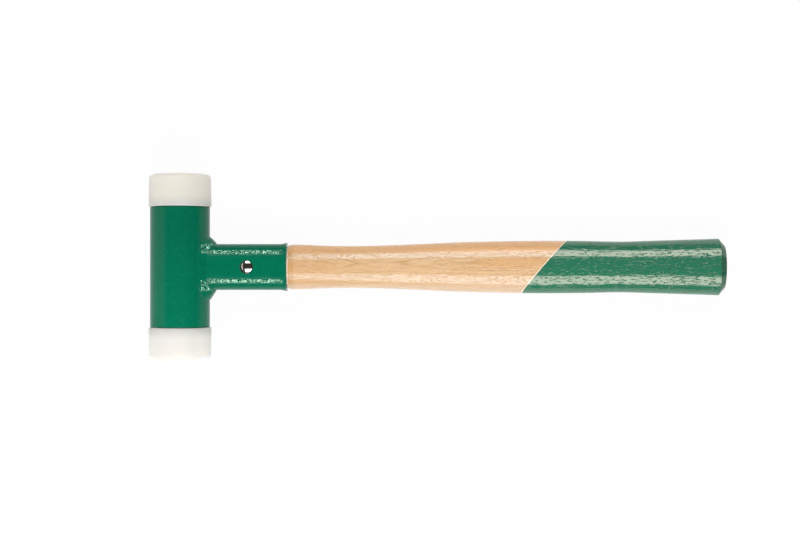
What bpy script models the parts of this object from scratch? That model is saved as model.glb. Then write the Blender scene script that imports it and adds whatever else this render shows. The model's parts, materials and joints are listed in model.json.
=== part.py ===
"""Dead blow hammer with replaceable soft faces, a welded steel head and a hickory handle.

The hammer lies on its side. +X runs along the handle from the head to the butt, +Y runs along
the head and +Z is up. The origin is under the middle of the hammer, on the surface it lies on.
Lengths are in metres. "Reach" is a distance along the handle from the axis of the head.
"""

import math

import bmesh
import bpy
from mathutils import Vector

# Driving dimensions of the whole hammer
OVERALL_LENGTH = 0.3695
HEAD_LENGTH = 0.1186
FIT_GAP = 0.0003  # clearance left between pieces that touch

# Soft faces: a block outside the tube and a ribbed spigot inside it
FACE_DIAMETER = 0.0400
FACE_END_DIAMETER = 0.0394
FACE_HEIGHT = 0.0208
FACE_END_ROUND = 0.0030
FACE_SEAT_ROUND = 0.0012
SPIGOT_LENGTH = 0.0130
SPIGOT_DIAMETER = 0.0322
SPIGOT_CHAMFER = 0.0010
RIB_COUNT = 12
RIB_DIAMETER = 0.0022
RIB_START = 0.0010
RIB_SIDES = 8

# Head tube, bored wider at each end so that a shoulder carries the chamber plate
TUBE_DIAMETER = 0.0380
SEAT_DIAMETER = 0.0340
CHAMBER_DIAMETER = 0.0330
TUBE_CHAMFER = 0.0004
PLATE_THICKNESS = 0.0030
PLATE_CHAMFER = 0.0004

# Steel shot: layers of balls, each a ring of balls round a middle one
SHOT_DIAMETER = 0.0087
SHOT_RING_COUNT = 8
SHOT_LAYERS = 4
SHOT_LAYER_PITCH = 0.00905

# Handle socket, an oval steel sleeve with a belled mouth, welded to the side of the tube
SOCKET_WIDTH = 0.0295
SOCKET_THICKNESS = 0.0230
SOCKET_SQUARENESS = 3.0
SOCKET_WALL = 0.0022
SOCKET_FOOT_REACH = 0.0120
SOCKET_MOUTH_REACH = 0.0686
BELL_LENGTH = 0.0050
BELL_GROWTH = 0.0018
WELD_SIDE_LEG = 0.0046
WELD_TOP_LEG = 0.0027
WELD_LOW_SPREAD = 0.5  # how much farther the weld spreads on the tube at -Y

# Solid steel pin through the socket and the handle, with domed ends
PIN_REACH = 0.0436
PIN_DIAMETER = 0.0080
PIN_DOME_RADIUS = 0.0088
PIN_PROUD = 0.0004

# Hickory handle: a tenon in the socket, a shoulder outside it, and stations of the grip
TENON_END_GAP = 0.0010
TENON_CHAMFER = 0.0010
SHOULDER_GAP = 0.0004
SHOULDER_CHAMFER = 0.0008
GRIP_SQUARENESS = 2.15
BUTT_CHAMFER = 0.0040
BUTT_CROWN = 0.0012
BUTT_TIP_SHARE = 0.20  # the flat left at the tip, as a share of the crown
DIP_REACH = 0.2327  # where the edge of the dipped paint crosses the middle of the handle
DIP_SLANT = 0.871  # how far the edge runs towards the butt for each metre along +Y
DIP_TILT = -0.137  # the same for each metre along +Z
GRIP_STATIONS = (  # reach, width along Y, thickness along Z
    (0.0720, 0.0287, 0.0234),
    (0.0780, 0.0286, 0.0230),
    (0.0900, 0.0276, 0.0212),
    (0.1050, 0.0269, 0.0198),
    (0.1280, 0.0275, 0.0196),
    (0.1540, 0.0295, 0.0206),
    (0.1800, 0.0318, 0.0219),
    (0.2050, 0.0330, 0.0227),
    (0.2310, 0.0336, 0.0231),
    (0.2570, 0.0333, 0.0229),
    (0.2820, 0.0324, 0.0224),
    (0.3070, 0.0338, 0.0234),
    (0.3330, 0.0354, 0.0246),
    (0.3447, 0.0362, 0.0251),
)

# How finely round shapes are drawn
TURNED_STEPS = 48
PLATE_STEPS = 32
PIN_STEPS = 24
BALL_SUBDIVISIONS = 2
OVAL_POINTS = 36
ARC_STEPS = 4
STATION_STEPS = 2
CROWN_STEPS = 4
SMOOTH_ANGLE = math.radians(35)

# Sizes that follow from the driving dimensions
FACE_RADIUS = FACE_DIAMETER / 2
TUBE_RADIUS = TUBE_DIAMETER / 2
TUBE_LENGTH = HEAD_LENGTH - 2 * FACE_HEIGHT
SEAT_RADIUS = SEAT_DIAMETER / 2
SEAT_DEPTH = SPIGOT_LENGTH + PLATE_THICKNESS + 2 * FIT_GAP
HEAD_X = FACE_RADIUS - OVERALL_LENGTH / 2
AXIS_HEIGHT = FACE_RADIUS
BUTT_REACH = OVERALL_LENGTH - FACE_RADIUS
PIN_LENGTH = SOCKET_THICKNESS + 2 * PIN_PROUD
PIN_HOLE_RADIUS = PIN_DIAMETER / 2 + FIT_GAP
CUT_MARGIN = 0.0100  # how far a cutter runs past what it cuts


def clear_scene():
    """Remove every object of the opened scene."""
    for thing in list(bpy.data.objects):
        bpy.data.objects.remove(thing, do_unlink=True)


def new_collection(name):
    """Make a collection in the scene."""
    made = bpy.data.collections.new(name)
    bpy.context.scene.collection.children.link(made)
    return made


def new_material(name, colour, roughness, metallic=0.0):
    """Make a plain Principled material from a linear colour."""
    made = bpy.data.materials.new(name)
    made.use_nodes = True
    shader = made.node_tree.nodes["Principled BSDF"]
    shader.inputs["Base Color"].default_value = (*colour, 1.0)
    shader.inputs["Roughness"].default_value = roughness
    shader.inputs["Metallic"].default_value = metallic
    made.diffuse_color = (*colour, 1.0)
    return made


def new_empty(name, collection, location, rotation=(0, 0, 0)):
    """Make an axis that pieces are placed on."""
    made = bpy.data.objects.new(name, None)
    made.location = location
    made.rotation_euler = rotation
    made.empty_display_size = 0.02
    collection.objects.link(made)
    return made


def new_piece(name, mesh, collection, parent, material, location=(0, 0, 0), rotation=(0, 0, 0)):
    """Put a mesh on an axis as a named piece."""
    made = bpy.data.objects.new(name, mesh)
    made.location = location
    made.rotation_euler = rotation
    made.parent = parent
    collection.objects.link(made)
    if material is not None and not mesh.materials:
        mesh.materials.append(material)
    return made


def as_cutter(piece):
    """Keep a helper shape out of renders and show it as wire."""
    piece.hide_render = True
    piece.display_type = "WIRE"
    return piece


def shade(mesh):
    """Shade a mesh smooth, with its real edges kept sharp."""
    mesh.shade_smooth()
    mesh.set_sharp_from_angle(angle=SMOOTH_ANGLE)
    return mesh


def arc(centre, radius, start, end, steps=ARC_STEPS):
    """Points of an arc in a profile, from one angle to another in degrees."""
    turns = [math.radians(start + (end - start) * step / steps) for step in range(steps + 1)]
    return [(centre[0] + radius * math.cos(t), centre[1] + radius * math.sin(t)) for t in turns]


def profile_mesh(name, points, closed):
    """A line of (radius, height) points to be turned about the local Z axis."""
    shape = bmesh.new()
    corners = [shape.verts.new((radius, 0, height)) for radius, height in points]
    ends = corners[1:] + corners[:1] if closed else corners[1:]
    for first, second in zip(corners, ends):
        shape.edges.new((first, second))
    mesh = bpy.data.meshes.new(name)
    shape.to_mesh(mesh)
    shape.free()
    return mesh


def turn(piece, steps=TURNED_STEPS):
    """Spin a piece's profile into a solid."""
    screw = piece.modifiers.new("turn", "SCREW")
    screw.axis = "Z"
    screw.steps = steps
    screw.render_steps = steps
    screw.use_merge_vertices = True
    screw.merge_threshold = 0.00001
    screw.use_smooth_shade = True
    return piece


def boolean(piece, other, operation):
    """Cut another shape from a piece, or join it on."""
    made = piece.modifiers.new(operation.lower(), "BOOLEAN")
    made.operation = operation
    made.object = other
    return piece


def oval(reach, width, thickness, squareness):
    """A ring of points across the handle: a superellipse in Y and Z."""
    power = 2 / squareness
    ring = []
    for step in range(OVAL_POINTS):
        turn_angle = 2 * math.pi * step / OVAL_POINTS
        across, up = math.cos(turn_angle), math.sin(turn_angle)
        y = math.copysign(abs(across) ** power, across) * width / 2
        z = math.copysign(abs(up) ** power, up) * thickness / 2
        ring.append(Vector((reach, y, z)))
    return ring


def loft(name, rings, closed=False):
    """Skin a row of rings that have as many points each; closed joins the last ring to the first."""
    shape = bmesh.new()
    rows = [[shape.verts.new(point) for point in ring] for ring in rings]
    following = rows[1:] + rows[:1] if closed else rows[1:]
    for row, after in zip(rows, following):
        count = len(row)
        for i in range(count):
            shape.faces.new((row[i], row[(i + 1) % count], after[(i + 1) % count], after[i]))
    if not closed:
        shape.faces.new(reversed(rows[0]))
        shape.faces.new(rows[-1])
    bmesh.ops.recalc_face_normals(shape, faces=shape.faces)
    mesh = bpy.data.meshes.new(name)
    shape.to_mesh(mesh)
    shape.free()
    return shade(mesh)


def smooth_stations(stations, steps):
    """Points of a smooth curve through the stations, with steps points to each span."""
    rows = [Vector(station) for station in stations]
    first = 2 * rows[0] - rows[1]
    last = 2 * rows[-1] - rows[-2]
    padded = [first, *rows, last]
    found = []
    for before, start, end, after in zip(padded, padded[1:], padded[2:], padded[3:]):
        for step in range(steps):
            t = step / steps
            bend = (2 * before - 5 * start + 4 * end - after) * t * t
            twist = (3 * start - before - 3 * end + after) * t * t * t
            found.append((2 * start + (end - before) * t + bend + twist) / 2)
    return found + [rows[-1]]


def cylinder_mesh(name, radius, length, sides):
    """A closed cylinder along the local Z axis, centred on it."""
    shape = bmesh.new()
    bmesh.ops.create_cone(
        shape, cap_ends=True, segments=sides, radius1=radius, radius2=radius, depth=length
    )
    mesh = bpy.data.meshes.new(name)
    shape.to_mesh(mesh)
    shape.free()
    return mesh


def build_tube(parts, axis, paint):
    """Head tube with a stepped bore, open at both ends."""
    half = TUBE_LENGTH / 2
    shoulder = half - SEAT_DEPTH
    chamber_radius = CHAMBER_DIAMETER / 2
    profile = [
        (TUBE_RADIUS - TUBE_CHAMFER, half),
        (TUBE_RADIUS, half - TUBE_CHAMFER),
        (TUBE_RADIUS, TUBE_CHAMFER - half),
        (TUBE_RADIUS - TUBE_CHAMFER, -half),
        (SEAT_RADIUS, -half),
        (SEAT_RADIUS, -shoulder),
        (chamber_radius, -shoulder),
        (chamber_radius, shoulder),
        (SEAT_RADIUS, shoulder),
        (SEAT_RADIUS, half),
    ]
    tube = new_piece("head_tube", profile_mesh("head_tube", profile, True), parts, axis, paint)
    return turn(tube)


def plate_profile():
    """Half of a chamber plate, from its middle to its rim."""
    radius, half = SEAT_RADIUS - FIT_GAP, PLATE_THICKNESS / 2
    return [
        (0, half),
        (radius - PLATE_CHAMFER, half),
        (radius, half - PLATE_CHAMFER),
        (radius, PLATE_CHAMFER - half),
        (radius - PLATE_CHAMFER, -half),
        (0, -half),
    ]


def build_plates(parts, axis, steel):
    """Steel discs that close the shot chamber, one on each shoulder of the bore."""
    middle = TUBE_LENGTH / 2 - SEAT_DEPTH + FIT_GAP + PLATE_THICKNESS / 2
    mesh = profile_mesh("chamber_plate", plate_profile(), False)
    for name, side in (("upper_chamber_plate", 1), ("lower_chamber_plate", -1)):
        turn(new_piece(name, mesh, parts, axis, steel, (0, 0, side * middle)), PLATE_STEPS)


def face_profile():
    """Half of a soft face, from the middle of its striking end to the middle of its spigot."""
    end_radius = FACE_END_DIAMETER / 2
    spigot_radius = SPIGOT_DIAMETER / 2
    end_centre = (end_radius - FACE_END_ROUND, FACE_HEIGHT - FACE_END_ROUND)
    seat_centre = (FACE_RADIUS - FACE_SEAT_ROUND, FIT_GAP + FACE_SEAT_ROUND)
    return [
        (0, FACE_HEIGHT),
        *arc(end_centre, FACE_END_ROUND, 90, 0),
        *arc(seat_centre, FACE_SEAT_ROUND, 0, -90),
        (spigot_radius, FIT_GAP),
        (spigot_radius, SPIGOT_CHAMFER - SPIGOT_LENGTH),
        (spigot_radius - SPIGOT_CHAMFER, -SPIGOT_LENGTH),
        (0, -SPIGOT_LENGTH),
    ]


def ribs_mesh():
    """Crush ribs round the spigot: rods sunk into it, with their crests just inside the bore."""
    crest = SEAT_RADIUS - FIT_GAP
    length = SPIGOT_LENGTH - SPIGOT_CHAMFER - RIB_START
    shape = bmesh.new()
    for index in range(RIB_COUNT):
        angle = 2 * math.pi * (index + 0.5) / RIB_COUNT
        radius = crest - RIB_DIAMETER / 2
        place = Vector((radius * math.cos(angle), radius * math.sin(angle), -RIB_START - length / 2))
        made = bmesh.ops.create_cone(
            shape,
            cap_ends=True,
            segments=RIB_SIDES,
            radius1=RIB_DIAMETER / 2,
            radius2=RIB_DIAMETER / 2,
            depth=length,
        )
        bmesh.ops.translate(shape, verts=made["verts"], vec=place)
    mesh = bpy.data.meshes.new("spigot_ribs")
    shape.to_mesh(mesh)
    shape.free()
    return mesh


def build_faces(parts, cutters, axis, nylon):
    """The two soft faces, pressed into the ends of the tube and facing away from each other."""
    body = profile_mesh("soft_face", face_profile(), False)
    ribs = ribs_mesh()
    for name, side, tilt in (("upper_face", 1, 0), ("lower_face", -1, math.pi)):
        place, rotation = (0, 0, side * TUBE_LENGTH / 2), (tilt, 0, 0)
        helper = new_piece(name + "_ribs", ribs, cutters, axis, None, place, rotation)
        face = turn(new_piece(name, body, parts, axis, nylon, place, rotation))
        boolean(face, as_cutter(helper), "UNION")


def build_shot(parts, axis, steel):
    """Loose steel balls, shown midway along the chamber with room to move to either end."""
    shape = bmesh.new()
    bmesh.ops.create_icosphere(shape, subdivisions=BALL_SUBDIVISIONS, radius=SHOT_DIAMETER / 2)
    ball = bpy.data.meshes.new("shot_ball")
    shape.to_mesh(ball)
    shape.free()
    ball.shade_smooth()
    ring_radius = (CHAMBER_DIAMETER - SHOT_DIAMETER) / 2 - FIT_GAP
    places = []
    for layer in range(SHOT_LAYERS):
        height = (layer - (SHOT_LAYERS - 1) / 2) * SHOT_LAYER_PITCH
        places.append((0, 0, height))
        for index in range(SHOT_RING_COUNT):
            angle = 2 * math.pi * index / SHOT_RING_COUNT
            places.append((ring_radius * math.cos(angle), ring_radius * math.sin(angle), height))
    for number, place in enumerate(places, 1):
        new_piece(f"shot_ball_{number:02d}", ball, parts, axis, steel, place)


def socket_rings():
    """Rings of the socket's sleeve: along the outside to the belled mouth, then back inside."""
    inner_width = SOCKET_WIDTH - 2 * SOCKET_WALL
    inner_thickness = SOCKET_THICKNESS - 2 * SOCKET_WALL
    bell_start = SOCKET_MOUTH_REACH - BELL_LENGTH
    bell_middle = SOCKET_MOUTH_REACH - BELL_LENGTH / 3
    rows = [
        (SOCKET_FOOT_REACH, SOCKET_WIDTH, SOCKET_THICKNESS),
        (bell_start, SOCKET_WIDTH, SOCKET_THICKNESS),
        (bell_middle, SOCKET_WIDTH + BELL_GROWTH / 2, SOCKET_THICKNESS + BELL_GROWTH / 2),
        (SOCKET_MOUTH_REACH, SOCKET_WIDTH + BELL_GROWTH, SOCKET_THICKNESS + BELL_GROWTH),
        (SOCKET_MOUTH_REACH, inner_width, inner_thickness),
        (SOCKET_FOOT_REACH, inner_width, inner_thickness),
    ]
    return [oval(*row, SOCKET_SQUARENESS) for row in rows]


def build_pin_hole(cutters, axis):
    """A drill that runs through the socket and the handle along Z."""
    length = SOCKET_THICKNESS + 2 * CUT_MARGIN
    mesh = cylinder_mesh("pin_drill", PIN_HOLE_RADIUS, length, PIN_STEPS)
    return as_cutter(new_piece("pin_drill", mesh, cutters, axis, None, (PIN_REACH, 0, 0)))


def build_socket(parts, cutters, axis, drill, paint):
    """Handle socket with a saddle cut that sits on the tube, and a hole for the pin."""
    saddle = cylinder_mesh(
        "saddle_cut", TUBE_RADIUS + FIT_GAP, SOCKET_WIDTH + 2 * CUT_MARGIN, TURNED_STEPS
    )
    along_head = (-math.pi / 2, 0, 0)
    cutter = as_cutter(new_piece("saddle_cut", saddle, cutters, axis, None, (0, 0, 0), along_head))
    mesh = loft("handle_socket", socket_rings(), closed=True)
    socket = new_piece("handle_socket", mesh, parts, axis, paint)
    boolean(socket, cutter, "DIFFERENCE")
    boolean(socket, drill, "DIFFERENCE")


def on_tube(y, z):
    """The point on the weld's side of the tube at this place across the handle."""
    radius = TUBE_RADIUS + FIT_GAP
    return Vector((math.sqrt(radius * radius - z * z), y, z))


def weld_sections():
    """Sections of the weld round the socket: root, socket toe and tube toe."""
    foot = oval(0, SOCKET_WIDTH, SOCKET_THICKNESS, SOCKET_SQUARENESS)
    sections = []
    for index, point in enumerate(foot):
        along = foot[(index + 1) % OVAL_POINTS] - foot[index - 1]
        out = Vector((0, along.z, -along.y)).normalized()
        leg = WELD_SIDE_LEG * out.y * out.y + WELD_TOP_LEG * out.z * out.z
        root_line = point + out * FIT_GAP
        spread = 1 + WELD_LOW_SPREAD * max(0, -out.y)
        toe_line = root_line + out * leg * spread
        root = on_tube(root_line.y, root_line.z)
        tube_toe = on_tube(toe_line.y, toe_line.z)
        socket_toe = root + Vector((leg, 0, 0))
        sections.append([root, socket_toe, tube_toe])
    return sections


def build_weld(parts, axis, paint):
    """Fillet weld all round the foot of the socket."""
    mesh = loft("socket_weld", weld_sections(), closed=True)
    new_piece("socket_weld", mesh, parts, axis, paint)


def build_pin(parts, axis, steel):
    """Solid pin whose domed ends stand just proud of the socket."""
    radius, half = PIN_DIAMETER / 2, PIN_LENGTH / 2
    rim = math.degrees(math.acos(radius / PIN_DOME_RADIUS))
    dome_centre = half - PIN_DOME_RADIUS
    profile = [
        *arc((0, dome_centre), PIN_DOME_RADIUS, 90, rim),
        *arc((0, -dome_centre), PIN_DOME_RADIUS, -rim, -90),
    ]
    mesh = profile_mesh("handle_pin", profile, False)
    turn(new_piece("handle_pin", mesh, parts, axis, steel, (PIN_REACH, 0, 0)), PIN_STEPS)


def handle_rings():
    """Rings of the handle from the end of its tenon to the tip of its butt."""
    play = 2 * (SOCKET_WALL + FIT_GAP)
    tenon_width, tenon_thickness = SOCKET_WIDTH - play, SOCKET_THICKNESS - play
    tenon_start = TUBE_RADIUS + TENON_END_GAP
    shoulder = SOCKET_MOUTH_REACH + SHOULDER_GAP
    chamfer = 2 * TENON_CHAMFER
    step = 2 * SHOULDER_CHAMFER
    grip = smooth_stations(GRIP_STATIONS, STATION_STEPS)
    neck_width, neck_thickness = GRIP_STATIONS[0][1:]
    tenon = [
        (tenon_start, tenon_width - chamfer, tenon_thickness - chamfer),
        (tenon_start + TENON_CHAMFER, tenon_width, tenon_thickness),
        (shoulder, tenon_width, tenon_thickness),
    ]
    rings = [oval(*row, SOCKET_SQUARENESS) for row in tenon]
    rings.append(oval(shoulder, neck_width - step, neck_thickness - step, GRIP_SQUARENESS))
    rings += [oval(*row, GRIP_SQUARENESS) for row in grip]
    return rings + butt_rings()


def butt_rings():
    """Rings of the butt: a broad chamfer, then a low crown up to the flat at the tip."""
    width, thickness = (size - 2 * BUTT_CHAMFER for size in GRIP_STATIONS[-1][1:])
    rings = []
    for index in range(CROWN_STEPS + 1):
        share = 1 - (1 - BUTT_TIP_SHARE) * index / CROWN_STEPS
        rise = (1 - share * share) / (1 - BUTT_TIP_SHARE * BUTT_TIP_SHARE)
        reach = BUTT_REACH - BUTT_CROWN * (1 - rise)
        rings.append(oval(reach, width * share, thickness * share, GRIP_SQUARENESS))
    return rings


def dip_butt(mesh, paint):
    """Give the butt end of the handle a coat of paint, up to a slanting edge."""
    start, towards_butt = Vector((DIP_REACH, 0, 0)), Vector((1, -DIP_SLANT, -DIP_TILT))
    shape = bmesh.new()
    shape.from_mesh(mesh)
    everything = [*shape.verts, *shape.edges, *shape.faces]
    bmesh.ops.bisect_plane(shape, geom=everything, plane_co=start, plane_no=towards_butt)
    for face in shape.faces:
        face.material_index = int((face.calc_center_median() - start).dot(towards_butt) > 0)
    shape.to_mesh(mesh)
    shape.free()
    mesh.materials.append(paint)


def build_handle(parts, axis, drill, wood, paint):
    """Hickory handle with a tenon, a shoulder and a chamfered butt, drilled for the pin."""
    mesh = loft("handle", handle_rings())
    handle = new_piece("handle", mesh, parts, axis, wood)
    dip_butt(mesh, paint)
    boolean(handle, drill, "DIFFERENCE")


def main():
    """Build the hammer, piece by piece."""
    clear_scene()
    parts = new_collection("dead_blow_hammer")
    cutters = new_collection("cutters")
    green_paint = new_material("green_paint", (0.003, 0.162, 0.085), 0.35)
    nylon = new_material("white_nylon", (0.80, 0.77, 0.71), 0.45)
    hickory = new_material("hickory", (0.79, 0.51, 0.27), 0.45)
    pin_steel = new_material("pin_steel", (0.60, 0.58, 0.55), 0.18, 1.0)
    plain_steel = new_material("plain_steel", (0.42, 0.42, 0.43), 0.40, 1.0)
    centre = (HEAD_X, 0, AXIS_HEIGHT)
    head_axis = new_empty("head_axis", parts, centre, (-math.pi / 2, 0, 0))
    handle_axis = new_empty("handle_axis", parts, centre)
    build_tube(parts, head_axis, green_paint)
    build_plates(parts, head_axis, plain_steel)
    build_faces(parts, cutters, head_axis, nylon)
    build_shot(parts, head_axis, plain_steel)
    drill = build_pin_hole(cutters, handle_axis)
    build_socket(parts, cutters, handle_axis, drill, green_paint)
    build_weld(parts, handle_axis, green_paint)
    build_pin(parts, handle_axis, pin_steel)
    build_handle(parts, handle_axis, drill, hickory, green_paint)


main()
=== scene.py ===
"""Looks of a dead blow hammer: a painted steel head, nylon faces and a dipped hickory handle.

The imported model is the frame: +X runs along the handle from the head to the butt, +Y runs along the
head and +Z is up, in metres. "Reach" is a distance along the handle from the axis of the head, and
"rise" is a height above that axis. A finished piece sits at the origin with its place in its mesh.
"""

from __future__ import annotations

import json
import logging
import math
from dataclasses import dataclass
from enum import Enum
from functools import partial
from typing import Any, Callable, Optional, Union

import bmesh
import bpy
import numpy as np
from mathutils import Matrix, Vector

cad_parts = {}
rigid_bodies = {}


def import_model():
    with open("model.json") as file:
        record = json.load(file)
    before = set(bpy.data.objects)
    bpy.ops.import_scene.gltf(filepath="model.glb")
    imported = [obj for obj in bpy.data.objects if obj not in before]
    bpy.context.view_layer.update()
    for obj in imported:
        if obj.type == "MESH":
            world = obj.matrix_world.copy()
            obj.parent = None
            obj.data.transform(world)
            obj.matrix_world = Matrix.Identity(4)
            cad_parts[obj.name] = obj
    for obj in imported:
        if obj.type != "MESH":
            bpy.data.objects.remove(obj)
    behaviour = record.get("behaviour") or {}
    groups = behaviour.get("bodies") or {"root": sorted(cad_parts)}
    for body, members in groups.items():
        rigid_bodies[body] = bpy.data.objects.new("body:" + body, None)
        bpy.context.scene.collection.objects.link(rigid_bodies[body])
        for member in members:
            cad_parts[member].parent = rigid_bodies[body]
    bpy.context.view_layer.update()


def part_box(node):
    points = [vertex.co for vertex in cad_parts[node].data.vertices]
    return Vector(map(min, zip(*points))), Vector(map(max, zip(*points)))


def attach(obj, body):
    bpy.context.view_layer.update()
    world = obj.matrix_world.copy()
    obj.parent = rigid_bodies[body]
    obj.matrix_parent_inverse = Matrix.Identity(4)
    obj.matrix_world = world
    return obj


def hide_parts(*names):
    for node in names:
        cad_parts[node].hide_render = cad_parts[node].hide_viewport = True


LOG = logging.getLogger("hammer")
MERGE_DISTANCE = 1e-6
CREASE_ANGLE = math.radians(32)
FULL_TURN = 2 * math.pi
FLAT_TURN = math.radians(27)
NOISE_MIDDLE = 0.5
GLOSS_TINT = (0.72, 1.0, 0.78)
WELD_TINT = (0.52, 1.0, 0.78)
SOCKET_GREEN = (0.0006, 0.154, 0.081)
BLACK = (0.0, 0.0, 0.0)

Colour = tuple[float, float, float]
Point = tuple[float, float, float]
Span = tuple[float, float]
Size = Union[float, np.ndarray]
Outline = Callable[[np.ndarray], tuple[np.ndarray, np.ndarray]]
Link = Union["Signal", float, int, str, tuple]


class HeadEnd(Enum):
    """The two ends of the head, with the direction of each along Y."""

    UPPER = 1
    LOWER = -1

    @property
    def word(self) -> str:
        """The end's name as it stands in the names of nodes and bodies."""
        return self.name.lower()


class TurnedAbout(Enum):
    """Which way the axis of a turned piece runs."""

    HEAD = "along Y"
    PIN = "along Z"


# Shader values and nodes


class Signal:
    """One shader value, so that shader maths reads as Python expressions."""

    def __init__(self, recipe: "Recipe", socket: bpy.types.NodeSocket) -> None:
        """Keep an output socket and the recipe whose nodes it belongs to."""
        self.recipe = recipe
        self.socket = socket

    def math(self, operation: str, *others: Link, first: Optional[Link] = None) -> "Signal":
        """Add a Math node that works on this value.

        Args:
            operation: The Math node's operation.
            others: Values that follow this one.
            first: A value that comes before this one, for reflected operators.

        Returns:
            The result as a new signal.
        """
        values = (self, *others) if first is None else (first, self)
        return self.recipe.node("ShaderNodeMath", {"operation": operation}, dict(enumerate(values)))

    def __add__(self, other: Link) -> "Signal":
        """This value plus another."""
        return self.math("ADD", other)

    __radd__ = __add__

    def __sub__(self, other: Link) -> "Signal":
        """This value less another."""
        return self.math("SUBTRACT", other)

    def __rsub__(self, other: Link) -> "Signal":
        """A number less this value."""
        return self.math("SUBTRACT", first=other)

    def __mul__(self, other: Link) -> "Signal":
        """This value times another."""
        return self.math("MULTIPLY", other)

    __rmul__ = __mul__

    def __abs__(self) -> "Signal":
        """The size of this value without its sign."""
        return self.math("ABSOLUTE")

    def fraction(self) -> "Signal":
        """What is left of this value past its whole number."""
        return self.math("FRACT")

    def swing(self) -> "Signal":
        """How far a noise is above or below its middle."""
        return self - NOISE_MIDDLE

    def at_least(self, other: Link) -> "Signal":
        """The larger of this value and another."""
        return self.math("MAXIMUM", other)

    def at_most(self, other: Link) -> "Signal":
        """The smaller of this value and another."""
        return self.math("MINIMUM", other)

    def ramp(self, low: float, high: float, start: float = 0.0) -> "Signal":
        """Rise smoothly from 0 to 1, or fall where low is above high.

        Args:
            low: Where it is 0.
            high: Where it is 1.
            start: What both are measured from.

        Returns:
            The ramp, flat beyond both ends.
        """
        if low > high:
            return 1.0 - self.ramp(high, low, start)
        settings = {"interpolation_type": "SMOOTHSTEP"}
        return self.recipe.node("ShaderNodeMapRange", settings, {0: self, 1: start + low, 2: start + high})


class Recipe:
    """The nodes of one material, or of the world."""

    def __init__(self, owner: Union[bpy.types.Material, bpy.types.World]) -> None:
        """Take an owner's nodes.

        Args:
            owner: A new material or world.
        """
        self.owner = owner
        self.owner.use_nodes = True
        self.tree = owner.node_tree

    @classmethod
    def for_material(cls, name: str) -> "Recipe":
        """Start the recipe of a new material.

        Args:
            name: The material's name.

        Returns:
            The recipe.
        """
        return cls(bpy.data.materials.new(name))

    def node(
        self,
        kind: str,
        settings: dict[str, Any],
        inputs: dict[Union[str, int], Link],
        output: Union[str, int] = 0,
    ) -> Signal:
        """Add any node.

        Args:
            kind: The node's type.
            settings: What is set on the node before its sockets, such as an operation.
            inputs: Values or signals for its sockets.
            output: Which of its outputs is wanted.

        Returns:
            That output as a signal.
        """
        made = self.tree.nodes.new(kind)
        for name, value in settings.items():
            setattr(made, name, value)
        self.feed(made, inputs)
        return Signal(self, made.outputs[output])

    def feed(self, made: bpy.types.Node, inputs: dict[Union[str, int], Link]) -> None:
        """Set or link the sockets of a node.

        Args:
            made: The node.
            inputs: Values or signals, by socket name or number.
        """
        for key, value in inputs.items():
            socket = made.inputs[key]
            if isinstance(value, Signal):
                self.tree.links.new(value.socket, socket)
            elif socket.type == "RGBA":
                socket.default_value = (*value, 1.0)
            else:
                socket.default_value = value

    def place(self) -> Signal:
        """The point on the piece, in metres in the shared frame."""
        return self.node("ShaderNodeTexCoord", {}, {}, "Object")

    def axes(self, place: Signal) -> tuple[Signal, Signal, Signal]:
        """Split a point into its three coordinates.

        Args:
            place: The point.

        Returns:
            Its x, y and z.
        """
        split = self.node("ShaderNodeSeparateXYZ", {}, {0: place}).socket.node
        return tuple(Signal(self, socket) for socket in split.outputs)

    def scaled(self, place: Signal, factors: Point) -> Signal:
        """Stretch or squeeze a pattern by multiplying its point.

        Args:
            place: The point.
            factors: One factor for each axis.

        Returns:
            The multiplied point.
        """
        return self.node("ShaderNodeVectorMath", {"operation": "MULTIPLY"}, {0: place, 1: factors})

    def noise(self, place: Signal, size: float, detail: float = 2.0) -> Signal:
        """Cloudy noise between about 0.2 and 0.8.

        Args:
            place: The point.
            size: The size of its largest blobs, in the units of the point.
            detail: How many finer layers are added.

        Returns:
            The noise.
        """
        inputs = {"Vector": place, "Scale": 1.0 / size, "Detail": detail}
        return self.node("ShaderNodeTexNoise", {}, inputs)

    def mix(self, share: Link, first: Link, second: Link) -> Signal:
        """Go from one colour to another.

        Args:
            share: How much of the second colour shows.
            first: A colour.
            second: Another colour.

        Returns:
            The mixed colour.
        """
        return self.node("ShaderNodeMix", {"data_type": "RGBA"}, {0: share, 6: first, 7: second}, 2)

    def relief(self, height: Signal) -> Signal:
        """Turn a height in metres into a bumped normal."""
        return self.node("ShaderNodeBump", {}, {"Strength": 1.0, "Distance": 1.0, "Height": height})

    def finish(self, inputs: dict[Union[str, int], Link]) -> bpy.types.Material:
        """Feed the Principled shader.

        Args:
            inputs: Values or signals for its sockets.

        Returns:
            The finished material.
        """
        self.feed(self.tree.nodes["Principled BSDF"], inputs)
        return self.owner


# Finishes


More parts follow.
